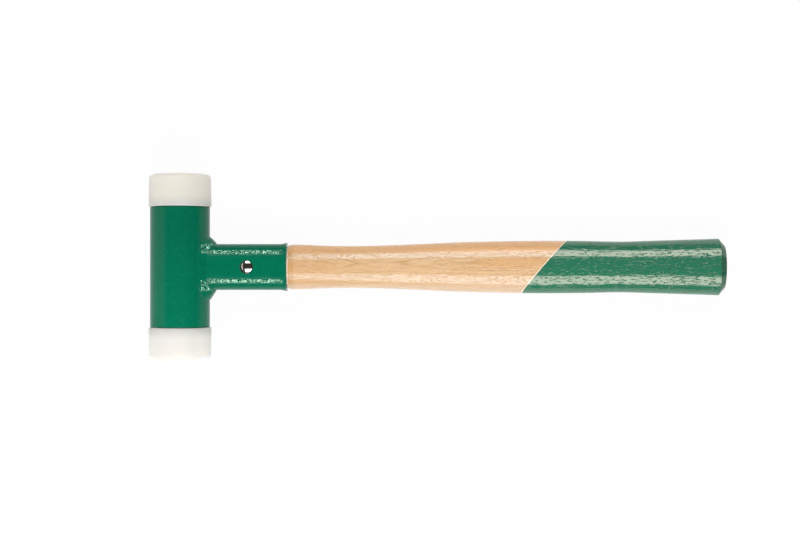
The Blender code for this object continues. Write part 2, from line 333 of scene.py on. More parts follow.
@dataclass(frozen=True)
class Enamel:
    """Green enamel sprayed on steel, with the dimples that spray leaves."""

    name: str
    colour: Colour = (0.0008, 0.168, 0.089)
    roughness: float = 0.13
    rough_swing: float = 0.08
    index: float = 1.5
    shine: float = 0.5
    tint: Colour = (1.0, 1.0, 1.0)
    mottle: float = 0.04
    mottle_size: float = 0.003
    mottle_span: Span = (0.35, 0.65)
    dimple_size: float = 0.0012
    dimple_height: float = 0.000030
    strip_middle: float = 0.0092
    strip_half: float = 0.0012
    calm_share: float = 1.0
    # Painted shade: where fall is above 0, the coat is painted darker towards +Y, over fall_half each way.
    fall: float = 0.0
    fall_half: float = 0.035

    def make(self) -> bpy.types.Material:
        """Mottle the colour with one noise and dimple the coat with another.

        The dimples are high in two strips beside the middle of the handle, and lower elsewhere. Where
        fall is above 0, shade is painted in: the coat grows darker towards +Y.

        Returns:
            The material.
        """
        recipe = Recipe.for_material(self.name)
        place = recipe.place()
        y = recipe.axes(place)[1]
        cloud = recipe.noise(place, self.mottle_size)
        dimples = recipe.noise(place, self.dimple_size, detail=0.0)
        near = abs(abs(y) - self.strip_middle).ramp(2 * self.strip_half, self.strip_half)
        strength = self.dimple_height * (self.calm_share + (1.0 - self.calm_share) * near)
        dark = tuple((1.0 - self.mottle) * part for part in self.colour)
        light = tuple((1.0 + self.mottle) * part for part in self.colour)
        coat = recipe.mix(cloud.ramp(*self.mottle_span), dark, light)
        # Painted shade: the coat darkens towards +Y.
        if self.fall > 0.0:
            coat = recipe.mix(self.fall * y.ramp(-self.fall_half, self.fall_half), coat, BLACK)
        return recipe.finish(
            {
                "Base Color": coat,
                "Roughness": self.roughness + self.rough_swing * cloud.swing(),
                "IOR": self.index,
                "Specular IOR Level": self.shine,
                "Specular Tint": self.tint,
                "Normal": recipe.relief(dimples * strength),
            }
        )


@dataclass(frozen=True)
class Nylon:
    """Milky cast nylon with the faint rings that turning leaves."""

    head_x: float
    seat: float
    name: str = "white_nylon"
    cool: Colour = (0.800, 0.788, 0.755)
    warm: Colour = (0.785, 0.768, 0.705)
    # Painted light: the paler colours of the flanks, left and right of the head, and where they begin.
    cool_flank: Colour = (0.935, 0.920, 0.890)
    warm_flank: Colour = (0.845, 0.825, 0.770)
    flank_span: Span = (0.010, 0.020)
    # Painted shade: how dark both faces are painted near the tube, and over what depth.
    seat_shade: float = 0.86
    seat_depth: float = 0.008
    roughness: float = 0.36
    rough_swing: float = 0.12
    glow_radius: Colour = (1.0, 0.9, 0.75)
    glow_scale: float = 0.009
    cloud_size: float = 0.014
    grain_size: float = 0.0009
    grain_share: float = 4.0
    ring_pitch: float = 0.0007
    ring_height: float = 0.000002
    ring_wander: float = 3.0

    def make(self) -> bpy.types.Material:
        """Warm the upper face, paint light on the flanks and shade near the tube, and ring both faces.

        The rings are a wave along the head with noise in it.

        Returns:
            The material.
        """
        recipe = Recipe.for_material(self.name)
        place = recipe.place()
        across, along, _ = recipe.axes(place)
        cloud = recipe.noise(place, self.cloud_size, detail=3.0)
        grain = recipe.noise(place, self.grain_size, detail=1.0)
        rings = (along * (FULL_TURN / self.ring_pitch) + self.ring_wander * cloud).math("SINE")
        upper = along.ramp(-self.seat, self.seat)
        # Painted light on the flanks.
        painted_flank_light = abs(across - self.head_x).ramp(*self.flank_span)
        milk_and_flank_light = recipe.mix(
            painted_flank_light,
            recipe.mix(upper, self.cool, self.warm),
            recipe.mix(upper, self.cool_flank, self.warm_flank),
        )
        # Painted shade on both faces near the tube.
        dim = tuple(self.seat_shade * (a + b) / 2 for a, b in zip(self.cool, self.warm))
        near = abs(along).ramp(self.seat + self.seat_depth, self.seat)
        return recipe.finish(
            {
                "Base Color": recipe.mix(near, milk_and_flank_light, dim),
                "Roughness": self.roughness + self.rough_swing * grain.swing(),
                "Subsurface Weight": 1.0,
                "Subsurface Radius": self.glow_radius,
                "Subsurface Scale": self.glow_scale,
                "Normal": recipe.relief((rings + self.grain_share * grain) * self.ring_height),
            }
        )


@dataclass(frozen=True)
class Steel:
    """Bare steel, clouded and finely scratched."""

    name: str
    colour: Colour = (0.42, 0.42, 0.43)
    dark_share: float = 0.82
    roughness: float = 0.35
    rough_swing: float = 0.16
    metal: float = 1.0
    cloud_size: float = 0.004
    cloud_span: Span = (0.3, 0.7)
    scratch_size: float = 0.0004
    scratch_height: float = 0.000002
    scratch_squeeze: Point = (1.0, 6.0, 1.0)

    def make(self) -> bpy.types.Material:
        """Cloud the metal with one noise and scratch it with another, squeezed along Y.

        Returns:
            The material.
        """
        recipe = Recipe.for_material(self.name)
        place = recipe.place()
        cloud = recipe.noise(place, self.cloud_size, detail=3.0)
        scratches = recipe.noise(recipe.scaled(place, self.scratch_squeeze), self.scratch_size)
        dark = tuple(self.dark_share * part for part in self.colour)
        return recipe.finish(
            {
                "Base Color": recipe.mix(cloud.ramp(*self.cloud_span), dark, self.colour),
                "Metallic": self.metal,
                "Roughness": self.roughness + self.rough_swing * cloud.swing(),
                "Normal": recipe.relief(scratches * self.scratch_height),
            }
        )


@dataclass(frozen=True)
class DipEdge:
    """The slanting edge of the dipped paint: reach = middle + slant times y + tilt times rise."""

    head: Point
    middle: float = 0.23374
    slant: float = 0.865
    tilt: float = -0.210

    def past(self, place: tuple[Signal, Signal, Signal]) -> Signal:
        """How far a point lies past the edge, towards the butt, measured along the handle."""
        x, y, z = place
        return x - (self.head[0] + self.middle) - y * self.slant - (z - self.head[2]) * self.tilt


@dataclass(frozen=True)
class Grain:
    """Growth rings of the handle: levels of rise + climb reach + tilt y + bow y^2, bent by noise.

    Where the handle swells and thins, its surface cuts the levels in long pointed arches. A dash is
    the width and length of a mark along the grain.
    """

    head: Point
    pitch: float = 0.00038
    first: float = 0.00905
    climb: float = -0.0087
    tilt: float = 0.190
    bow: float = -12.0
    bend: float = 0.0004
    bend_size: float = 0.010
    bend_squeeze: Point = (0.15, 1.0, 1.0)
    fray: float = 0.00012
    fray_size: float = 0.0009
    fray_squeeze: Point = (0.05, 1.0, 1.0)
    tone_step: float = 0.618
    tone_start: float = 100.30
    late_rise: Span = (0.55, 0.92)
    late_fall: Span = (1.0, 0.94)

    def level(self, recipe: Recipe, place: Signal) -> Signal:
        """The level of growth at a point, in metres.

        Args:
            recipe: The material's nodes.
            place: The point.

        Returns:
            The level, bent a little and frayed along the fibres.
        """
        x, y, z = recipe.axes(place)
        bent = recipe.noise(recipe.scaled(place, self.bend_squeeze), self.bend_size)
        frayed = recipe.noise(recipe.scaled(place, self.fray_squeeze), self.fray_size)
        flat = (z - self.head[2]) + (x - self.head[0]) * self.climb + y * self.tilt + y * y * self.bow
        return flat + self.bend * bent.swing() + self.fray * frayed.swing()

    def rings(self, level: Signal) -> Signal:
        """Count the rings up to a level; the whole part names a ring, the rest is the way through it."""
        return (level - self.first) * (1.0 / self.pitch)

    def tone(self, rings: Signal) -> Signal:
        """How dark each ring is, from 0 to 1: the fraction of its number times the golden ratio."""
        return (rings.math("FLOOR") * self.tone_step + self.tone_start).fraction()

    def late(self, rings: Signal) -> Signal:
        """The dark line at the end of each ring, soft on its inner side and sharp on its outer one."""
        through = rings.fraction()
        return through.ramp(*self.late_rise) * through.ramp(*self.late_fall)

    def dashes(self, recipe: Recipe, place: Signal, dash: Span) -> Signal:
        """Noise drawn out along the handle, for pores and fibres.

        Args:
            recipe: The material's nodes.
            place: The point.
            dash: How wide and how long a mark is.

        Returns:
            The noise, between about 0.2 and 0.8.
        """
        width, length = dash
        return recipe.noise(recipe.scaled(place, (width / length, 1.0, 1.0)), width, detail=1.0)


@dataclass(frozen=True)
class Hickory:
    """Lacquered hickory: flat-sawn rings, fibres and open pores.

    A weight says how far a pattern takes the pale wood towards tan. Spans along the handle are
    measured from the neck, the mouth of the socket or the edge of the paint.
    """

    grain: Grain
    edge: DipEdge
    mouth_x: float
    neck_x: float
    name: str = "lacquered_hickory"
    pale: Colour = (0.805, 0.543, 0.311)
    tan: Colour = (0.600, 0.335, 0.140)
    # Painted shade: a deeper orange along the upper side.
    honey: Colour = (0.92, 0.505, 0.222)
    amber: Colour = (0.765, 0.455, 0.210)
    # Painted light: a pale tone along the lower rim.
    milky: Colour = (0.80, 0.600, 0.430)
    pore: Colour = (0.30, 0.150, 0.065)
    # Painted highlight: the colour of the thin lines along the mouth and the paint's edge.
    cream: Colour = (0.95, 0.86, 0.66)
    tint: Colour = (0.64, 0.86, 1.0)
    index: float = 1.46
    shine: float = 0.68
    roughness: float = 0.10
    fibre_rough: float = 0.15
    pore_rough: float = 0.20
    worn_rough: float = 0.10
    fibre_height: float = 0.000022
    dent_depth: float = 0.00016
    fibre_dash: Span = (0.0011, 0.022)
    hair_dash: Span = (0.0006, 0.009)
    line_dash: Span = (0.00065, 0.024)
    streak_dash: Span = (0.0035, 0.060)
    pore_dash: Span = (0.0008, 0.0026)
    line_span: Span = (0.54, 0.60)
    pore_span: Span = (0.695, 0.755)
    dent_span: Span = (0.54, 0.64)
    flame_level: float = 0.00964
    flame_sharpness: float = 0.00005
    flame_span: Span = (0.188, 0.191)
    flame_fray: float = 0.016
    flame_calm: float = 0.6
    arch_span: Span = (0.018, 0.034)
    shoulder_span: Span = (0.0016, 0.0012)
    worn_span: Span = (0.050, 0.010)
    # Where the painted highlight lines lie, at the mouth and at the paint's edge.
    mouth_span: Span = (0.0012, 0.0009)
    paint_span: Span = (-0.0009, -0.0006)
    # Sides where light and shade are painted: light on the upper rim, shade on the lower half, deeper orange
    # on the upper side and light on the lower rim.
    bright_side: Span = (0.007, 0.012)
    dark_side: Span = (0.002, -0.006)
    honey_side: Span = (0.007, 0.011)
    milky_side: Span = (-0.009, -0.013)
    base_weight: float = 0.08
    tone_weight: float = 0.22
    late_weight: float = 0.80
    late_least: float = 0.25
    line_weight: float = 0.24
    fibre_weight: float = 0.35
    hair_weight: float = 0.8
    streak_weight: float = 0.2
    shoulder_weight: float = 0.65
    worn_weight: float = 0.30
    # How much light is painted on the upper rim and shade on the lower half.
    bright_weight: float = 0.20
    dark_weight: float = 0.08
    amber_flame: float = 0.75
    amber_worn: float = 0.35
    # Shares of the painted shade on the upper side and the painted light on the lower rim.
    honey_share: float = 0.72
    milky_share: float = 0.60
    pore_share: float = 0.55

    def make(self) -> bpy.types.Material:
        """Tint every ring, draw its late line, and lay fibres and pores along the handle.

        One dark ring shows as a flame where the grip swells. The cut shoulder shows end grain and is
        darker, and so is the worn neck. A thin pale highlight is painted along the mouth and along the
        paint. Light is painted on the upper and lower rims, shade on the lower half, and a deeper orange
        on the upper side.

        Returns:
            The material.
        """
        recipe = Recipe.for_material(self.name)
        place = recipe.place()
        axes = recipe.axes(place)
        x, y, _ = axes
        fibre = self.grain.dashes(recipe, place, self.fibre_dash)
        hair = self.grain.dashes(recipe, place, self.hair_dash)
        lines = self.grain.dashes(recipe, place, self.line_dash).ramp(*self.line_span)
        streak = self.grain.dashes(recipe, place, self.streak_dash)
        dents = self.grain.dashes(recipe, place, self.pore_dash)
        pores = dents.ramp(*self.pore_span)
        worn = x.ramp(*self.worn_span, start=self.neck_x)
        shoulder = x.ramp(*self.shoulder_span, start=self.neck_x)

        level = self.grain.level(recipe, place)
        rings = self.grain.rings(level)
        tone = self.grain.tone(rings)
        ragged = x + self.flame_fray * fibre.swing()
        flame = level.ramp(self.flame_level - self.flame_sharpness, self.flame_level)
        flame = flame * ragged.ramp(*self.flame_span, start=self.grain.head[0])
        late = self.grain.late(rings) * (self.late_least + (1.0 - self.late_least) * tone)
        late = late * (1.0 - self.flame_calm * flame) * x.ramp(*self.arch_span, start=self.neck_x)

        share = self.base_weight + self.tone_weight * tone.swing() + self.late_weight * late
        share = share + self.shoulder_weight * shoulder + self.worn_weight * worn
        share = share + self.line_weight * lines + self.fibre_weight * fibre.swing()
        share = share + self.hair_weight * hair.swing() + self.streak_weight * streak.swing()
        # Painted light on the upper rim and painted shade on the lower half.
        share = share - self.bright_weight * y.ramp(*self.bright_side)
        share = share + self.dark_weight * y.ramp(*self.dark_side)
        wood = recipe.mix(share.at_least(0.0).at_most(1.0), self.pale, self.tan)
        wood = recipe.mix((self.amber_flame * flame).at_least(self.amber_worn * worn), wood, self.amber)
        # Painted shade turns the upper side deeper orange, and painted light pales the lower rim.
        wood = recipe.mix(self.honey_share * y.ramp(*self.honey_side), wood, self.honey)
        wood = recipe.mix(self.milky_share * y.ramp(*self.milky_side), wood, self.milky)
        wood = recipe.mix(self.pore_share * pores, wood, self.pore)
        # Painted highlight: thin pale lines along the paint's edge and the socket's mouth.
        lip = self.edge.past(axes).ramp(*self.paint_span) + x.ramp(*self.mouth_span, start=self.mouth_x)

        rough = self.roughness + self.fibre_rough * fibre.swing() + self.pore_rough * pores
        height = self.fibre_height * (fibre + hair) - self.dent_depth * dents.ramp(*self.dent_span)
        return recipe.finish(
            {
                "Base Color": recipe.mix(lip, wood, self.cream),
                "Roughness": rough + self.worn_rough * worn,
                "IOR": self.index,
                "Specular IOR Level": self.shine,
                "Specular Tint": self.tint,
                "Normal": recipe.relief(height),
            }
        )


@dataclass(frozen=True)
class GrainPaint:
    """Green paint dipped over hickory, which sinks into the pores and shows the rings below."""

    grain: Grain
    edge: DipEdge
    butt_x: float
    name: str = "dipped_paint"
    colour: Colour = (0.026, 0.186, 0.104)
    # Darker paint in the pores, also used as painted shade on the butt's end.
    deep: Colour = (0.010, 0.115, 0.060)
    # Painted shade: the dark line along the paint's edge.
    rim: Colour = (0.030, 0.045, 0.010)
    tint: Colour = (1.0, 0.87, 0.77)
    index: float = 1.5
    shine: float = 0.87
    roughness: float = 0.09
    pore_rough: float = 0.08
    pore_depth: float = 0.00022
    pore_dash: Span = (0.00088, 0.0034)
    pore_span: Span = (0.56, 0.66)
    fibre_height: float = 0.00006
    fibre_dash: Span = (0.0010, 0.014)
    open_span: Span = (0.0, 0.090)
    below_span: Span = (-0.003, -0.007)
    # Where shade is painted: along the paint's edge and on the butt's end.
    rim_span: Span = (0.0008, 0.0004)
    pool_span: Span = (-0.0055, -0.0045)
    ring_least: float = 0.60
    open_least: float = 0.18
    below_more: float = 0.20
    pore_share: float = 0.7
    # How strong the painted shade is on the butt's end and along the paint's edge.
    pool_share: float = 0.75
    rim_share: float = 0.7

    def make(self) -> bpy.types.Material:
        """Sink pores into the coat, more of them towards the butt, below the middle and along the rings.

        The paint is darker in the pores, and shade is painted on the butt's end and along the paint's edge.

        Returns:
            The material.
        """
        recipe = Recipe.for_material(self.name)
        place = recipe.place()
        axes = recipe.axes(place)
        past = self.edge.past(axes)
        late = self.grain.late(self.grain.rings(self.grain.level(recipe, place)))
        marks = self.grain.dashes(recipe, place, self.pore_dash)
        fibre = self.grain.dashes(recipe, place, self.fibre_dash)
        opened = self.open_least + (1.0 - self.open_least) * past.ramp(*self.open_span)
        opened = opened + self.below_more * axes[1].ramp(*self.below_span)
        along_rings = self.ring_least + (1.0 - self.ring_least) * late
        pores = marks.ramp(*self.pore_span) * (along_rings * opened.at_most(1.0))
        # Painted shade on the butt's end, which takes the darker pore colour.
        painted_butt_shade = axes[0].ramp(*self.pool_span, start=self.butt_x)
        deep = (self.pore_share * pores).at_least(self.pool_share * painted_butt_shade)
        coat = recipe.mix(deep, self.colour, self.deep)
        return recipe.finish(
            {
                # Painted shade: a dark line along the paint's edge.
                "Base Color": recipe.mix(self.rim_share * past.ramp(*self.rim_span), coat, self.rim),
                "Roughness": self.roughness + self.pore_rough * pores,
                "IOR": self.index,
                "Specular IOR Level": self.shine,
                "Specular Tint": self.tint,
                "Normal": recipe.relief(self.fibre_height * fibre - self.pore_depth * pores),
            }
        )


# Outlines and grids of points


def superellipse(turn: np.ndarray, squareness: float) -> tuple[np.ndarray, np.ndarray]:
    """An oval of half width 1: sign(cos) |cos|^(2/n) across and sign(sin) |sin|^(2/n) up.

    Args:
        turn: Angles round the oval.
        squareness: The exponent n, 2 for an ellipse and more for a squarer oval.

    Returns:
        How far across and how far up each point lies.
    """
    power = 2.0 / squareness
    across = np.sign(np.cos(turn)) * np.abs(np.cos(turn)) ** power
    up = np.sign(np.sin(turn)) * np.abs(np.sin(turn)) ** power
    return across, up


def four_arcs(out: np.ndarray, width: Size, thickness: Size) -> tuple[np.ndarray, np.ndarray]:
    """An oval of four arcs: flat ones above and below, tight ones at the sides.

    A flat arc of radius R turns by t to each side and a tight one has radius r, so half the width is
    R sin t + r (1 - sin t) and half the thickness is R (1 - cos t) + r cos t.

    Args:
        out: The direction that points out at each point, as an angle from +Y.
        width: The oval's width.
        thickness: Its thickness.

    Returns:
        How far across and how far up each point lies.
    """
    sine, cosine = math.sin(FLAT_TURN), math.cos(FLAT_TURN)
    half_width, half_thickness = width / 2, thickness / 2
    steep = cosine / (1 - sine)
    flat = (steep * half_width - half_thickness) / (steep * sine - (1 - cosine))
    tight = (half_width - sine * flat) / (1 - sine)
    across, up = np.abs(np.cos(out)), np.abs(np.sin(out))
    on_flat = across <= sine
    y = np.where(on_flat, flat * across, sine * flat + tight * (across - sine))
    z = np.where(on_flat, half_thickness - flat * (1 - up), tight * up)
    return np.sign(np.cos(out)) * y, np.sign(np.sin(out)) * z


def even_round(count: int, outline: Outline, samples: int) -> np.ndarray:
    """Angles that space points evenly round an oval, by inverting its running length.

    Args:
        count: How many points.
        outline: How far across and how far up the oval lies at given angles.
        samples: How many spans the length is summed over.

    Returns:
        The angles, from 0 up to but not including a full turn.
    """
    turn = np.linspace(0.0, FULL_TURN, samples + 1)
    across, up = outline(turn)
    run = np.concatenate([[0.0], np.cumsum(np.hypot(np.diff(across), np.diff(up)))])
    return np.interp(np.arange(count) * run[-1] / count, run, turn)


def arc(centre: tuple[float, float], radius: float, start: float, end: float, steps: int = 10) -> np.ndarray:
    """Points of an arc in a profile.

    Args:
        centre: Its centre, as (radius, along).
        radius: Its radius.
        start: The first angle in degrees.
        end: The last angle in degrees.
        steps: How many spans it has.

    Returns:
        An array of (radius, along) points.
    """
    turn = np.radians(np.linspace(start, end, steps + 1))
    return np.column_stack([centre[0] + radius * np.cos(turn), centre[1] + radius * np.sin(turn)])


def densified(profile: np.ndarray, longest: float) -> np.ndarray:
    """Add points to a profile so that no span is longer than a given length.

    Args:
        profile: An array of points.
        longest: The longest span allowed.

    Returns:
        The profile with points added along its straight spans.
    """
    spans = np.linalg.norm(np.diff(profile, axis=0), axis=1)
    parts = np.maximum(1, np.ceil(spans / longest)).astype(int)
    start = np.repeat(np.arange(len(spans)), parts)
    first = np.repeat(np.cumsum(parts) - parts, parts)
    share = (np.arange(parts.sum()) - first) / np.repeat(parts, parts)
    dense = profile[start] + share[:, None] * (profile[start + 1] - profile[start])
    return np.concatenate([dense, profile[-1:]])


def smooth_through(stations: np.ndarray, reach: np.ndarray) -> np.ndarray:
    """Cubic curve through stations, whose slopes come from each station's neighbours.

    Args:
        stations: Rows of (reach, values).
        reach: Where the curve is wanted, an array of any shape.

    Returns:
        The values there, in a last axis added to the shape of reach.
    """
    knots, values = stations[:, 0], stations[:, 1:]
    slopes = np.gradient(values, knots, axis=0)
    span = np.clip(np.searchsorted(knots, reach, side="right") - 1, 0, len(knots) - 2)
    length = (knots[span + 1] - knots[span])[..., None]
    t = np.clip((reach - knots[span])[..., None] / length, 0.0, 1.0)
    start = values[span] * (2 * t**3 - 3 * t**2 + 1) + slopes[span] * length * (t**3 - 2 * t**2 + t)
    return start + values[span + 1] * (3 * t**2 - 2 * t**3) + slopes[span + 1] * length * (t**3 - t**2)


def skin(
    name: str,
    points: np.ndarray,
    finishes: list[bpy.types.Material],
    ring: bool = False,
    slots: Optional[np.ndarray] = None,
) -> bpy.types.Object:
    """Cover grids of points with quads; columns close on themselves and poles are merged.

    Args:
        name: The piece's name.
        points: Points as (rows, columns, 3), or (copies, rows, columns, 3).
        finishes: The piece's materials, in the order of its slots.
        ring: Whether the last row joins the first.
        slots: A material slot for each row of faces, or for each row and column.

    Returns:
        The new object, with its faces pointing out.
    """
    grids = points.reshape(-1, *points.shape[-3:])
    index = np.arange(grids[..., 0].size).reshape(grids.shape[:3])
    below = index if ring else index[:, :-1]
    above = np.roll(index, -1, axis=1) if ring else index[:, 1:]
    quads = np.stack([below, np.roll(below, -1, axis=2), np.roll(above, -1, axis=2), above], axis=-1)
    mesh = bpy.data.meshes.new(name)
    mesh.from_pydata(grids.reshape(-1, 3).tolist(), [], quads.reshape(-1, 4).tolist())
    for finish in finishes:
        mesh.materials.append(finish)
    if slots is not None:
        spread = np.broadcast_to(slots.reshape(len(slots), -1), (len(slots), grids.shape[2]))
        mesh.polygons.foreach_set("material_index", spread.astype(np.int32).ravel())
    close_up(mesh)
    piece = bpy.data.objects.new(name, mesh)
    bpy.context.scene.collection.objects.link(piece)
    return piece


def close_up(mesh: bpy.types.Mesh) -> None:
    """Merge a mesh's poles, point its faces out and shade it smooth up to its real edges.

    Args:
        mesh: The mesh.
    """
    shape = bmesh.new()
    shape.from_mesh(mesh)
    bmesh.ops.remove_doubles(shape, verts=shape.verts, dist=MERGE_DISTANCE)
    bmesh.ops.recalc_face_normals(shape, faces=shape.faces)
    shape.to_mesh(mesh)
    shape.free()
    mesh.shade_smooth()
    mesh.set_sharp_from_angle(angle=CREASE_ANGLE)


def turned(
    centre: Point, about: TurnedAbout, radius: np.ndarray, along: np.ndarray, steps: int
) -> np.ndarray:
    """Points of a turned shape: a radius that goes round an axis at each height along it.

    Args:
        centre: A point on the axis, from which heights are measured.
        about: Which way the axis runs.
        radius: Radii, one for each row, or one for each row and column.
        along: A height for each row.
        steps: How many columns go round.

    Returns:
        Points as (rows, steps, 3).
    """
    turn = np.arange(steps) * FULL_TURN / steps
    radius = np.broadcast_to(radius.reshape(len(along), -1), (len(along), steps))
    height = np.broadcast_to(along[:, None], radius.shape)
    first, second = radius * np.cos(turn), radius * np.sin(turn)
    parts = (first, height, second) if about is TurnedAbout.HEAD else (first, second, height)
    return np.stack(parts, axis=-1) + np.array(centre)


def drill(piece: bpy.types.Object, cutter: bpy.types.Object) -> None:
    """Cut a hole through a piece and keep the result as its mesh.

    Args:
        piece: The piece that is drilled.
        cutter: A closed shape to take away.
    """
    cut = piece.modifiers.new("drilled", "BOOLEAN")
    cut.operation = "DIFFERENCE"
    cut.solver = "EXACT"
    cut.object = cutter
    graph = bpy.context.evaluated_depsgraph_get()
    drilled = bpy.data.meshes.new_from_object(piece.evaluated_get(graph))
    piece.modifiers.remove(cut)
    piece.data = drilled
    drilled.set_sharp_from_angle(angle=CREASE_ANGLE)


def deliver(piece: bpy.types.Object, body: str, nodes: list[str]) -> None:
    """Put a piece on its body and let it stand for its nodes.

    Args:
        piece: The piece.
        body: The body it moves with.
        nodes: The nodes it stands for.
    """
    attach(piece, body)
    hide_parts(*nodes)
    LOG.info("%s: %d faces on %s", piece.name, len(piece.data.polygons), body)


# Pieces


@dataclass(frozen=True)
class Layout:
    """The places that the pieces share, read from the frame."""

    head: Point
    tube_radius: float
    tube_half: float
    face_radius: float
    face_half: float
    socket_width: float
    socket_thickness: float
    socket_mouth: float
    pin_reach: float
    pin_radius: float
    pin_half: float
    butt: float

    @classmethod
    def from_frame(cls) -> "Layout":
        """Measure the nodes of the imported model.

        Returns:
            The layout.
        """
        tube_lo, tube_hi = (np.array(corner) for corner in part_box("head_tube"))
        face_lo, face_hi = (np.array(corner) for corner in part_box("upper_face"))
        socket_lo, socket_hi = (np.array(corner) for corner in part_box("handle_socket"))
        pin_lo, pin_hi = (np.array(corner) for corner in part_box("handle_pin"))
        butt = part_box("handle")[1][0]
        middle = (tube_lo + tube_hi) / 2
        return cls(
            head=tuple(float(part) for part in middle),
            tube_radius=float(tube_hi[0] - tube_lo[0]) / 2,
            tube_half=float(tube_hi[1] - tube_lo[1]) / 2,
            face_radius=float(face_hi[0] - face_lo[0]) / 2,
            face_half=float(face_hi[1] - middle[1]),
            socket_width=float(socket_hi[1] - socket_lo[1]),
            socket_thickness=float(socket_hi[2] - socket_lo[2]),
            socket_mouth=float(socket_hi[0] - middle[0]),
            pin_reach=float((pin_lo[0] + pin_hi[0]) / 2 - middle[0]),
            pin_radius=float(pin_hi[0] - pin_lo[0]) / 2,
            pin_half=float(pin_hi[2] - pin_lo[2]) / 2,
            butt=float(butt - middle[0]),
        )


@dataclass
class HeadTube:
    """The steel tube, painted outside and bare in its stepped bore."""

    layout: Layout
    end_round: float = 0.0007
    seat_radius: float = 0.0170
    chamber_radius: float = 0.0165
    seat_depth: float = 0.0166
    bore_chamfer: float = 0.0003
    longest_span: float = 0.0020
    steps: int = 192

    def profile(self) -> tuple[np.ndarray, np.ndarray]:
        """Half a section: the outside with rounded ends, then back through the bore.

        Returns:
            The section's points as (radius, along), and for each point whether it is in the bore.
        """
        radius, half = self.layout.tube_radius, self.layout.tube_half
        shoulder = half - self.seat_depth
        turn_in = radius - self.end_round
        outside = np.concatenate(
            [
                arc((turn_in, half - self.end_round), self.end_round, 90, 0),
                arc((turn_in, self.end_round - half), self.end_round, 0, -90),
            ]
        )
        mouth = self.seat_radius + self.bore_chamfer
        bore = np.array(
            [
                (mouth, -half),
                (self.seat_radius, self.bore_chamfer - half),
                (self.seat_radius, -shoulder),
                (self.chamber_radius, -shoulder),
                (self.chamber_radius, shoulder),
                (self.seat_radius, shoulder),
                (self.seat_radius, half - self.bore_chamfer),
                (mouth, half),
            ]
        )
        outside = densified(outside, self.longest_span)
        bare = np.concatenate([np.zeros(len(outside)), np.ones(len(bore) - 1), [0]])
        return np.concatenate([outside, bore]), bare

    def build(self, paint: bpy.types.Material, steel: bpy.types.Material) -> None:
        """Turn the section about the head and dress both sides.

        Args:
            paint: The finish outside.
            steel: The finish in the bore.
        """
        section, bare = self.profile()
        points = turned(self.layout.head, TurnedAbout.HEAD, section[:, 0], section[:, 1], self.steps)
        tube = skin("painted_head_tube", points, [paint, steel], ring=True, slots=bare)
        deliver(tube, "hammer_body", ["head_tube"])


@dataclass
class SoftFace:
    """A nylon face: a block outside the tube and a ribbed spigot inside it."""

    layout: Layout
    end: HeadEnd
    end_radius: float = 0.0197
    end_round: float = 0.0030
    seat_round: float = 0.0006
    seat_gap: float = 0.0001
    spigot_radius: float = 0.0161
    spigot_length: float = 0.0130
    spigot_chamfer: float = 0.0010
    rib_count: int = 12
    rib_radius: float = 0.0011
    rib_crest: float = 0.0167
    rib_start: float = 0.0010
    longest_span: float = 0.0012
    steps: int = 288

    def profile(self) -> np.ndarray:
        """Half a section, from the middle of the striking end to the middle of the spigot.

        Returns:
            The section's points as (radius, along).
        """
        height = self.layout.face_half - self.layout.tube_half
        wide = self.layout.face_radius
        return densified(
            np.concatenate(
                [
                    [(0.0, height)],
                    arc((self.end_radius - self.end_round, height - self.end_round), self.end_round, 90, 0),
                    arc((wide - self.seat_round, self.seat_gap + self.seat_round), self.seat_round, 0, -90),
                    [
                        (self.spigot_radius, self.seat_gap),
                        (self.spigot_radius, self.spigot_chamfer - self.spigot_length),
                        (self.spigot_radius - self.spigot_chamfer, -self.spigot_length),
                        (0.0, -self.spigot_length),
                    ],
                ]
            ),
            self.longest_span,
        )

    def ribbed(self, section: np.ndarray) -> np.ndarray:
        """Radii with crush ribs: rods sunk in the spigot, each round in section.

        A rod of radius r at distance c from the axis shows at c cos a + sqrt(r^2 - (c sin a)^2).

        Args:
            section: The points of the half section.

        Returns:
            A radius for each row and column.
        """
        turn = np.arange(self.steps) * FULL_TURN / self.steps
        pitch = FULL_TURN / self.rib_count
        off_rib = (turn % pitch) - pitch / 2
        centre = self.rib_crest - self.rib_radius
        room = np.maximum(self.rib_radius**2 - (centre * np.sin(off_rib)) ** 2, 0.0)
        rod = np.where(room > 0, centre * np.cos(off_rib) + np.sqrt(room), 0.0)
        low = self.spigot_chamfer - self.spigot_length
        on_rib = (section[:, 1] <= -self.rib_start) & (section[:, 1] >= low - MERGE_DISTANCE)
        return np.where(on_rib[:, None], np.maximum(section[:, :1], rod), section[:, :1])

    def build(self, nylon: bpy.types.Material) -> None:
        """Turn the section about the head, facing away from the tube.

        Args:
            nylon: The finish.
        """
        section = self.profile()
        x, y, z = self.layout.head
        seat = y + self.end.value * self.layout.tube_half
        along = self.end.value * section[:, 1]
        points = turned((x, seat, z), TurnedAbout.HEAD, self.ribbed(section), along, self.steps)
        face = skin(f"nylon_{self.end.word}_face", points, [nylon])
        deliver(face, f"{self.end.word}_insert", [f"{self.end.word}_face"])


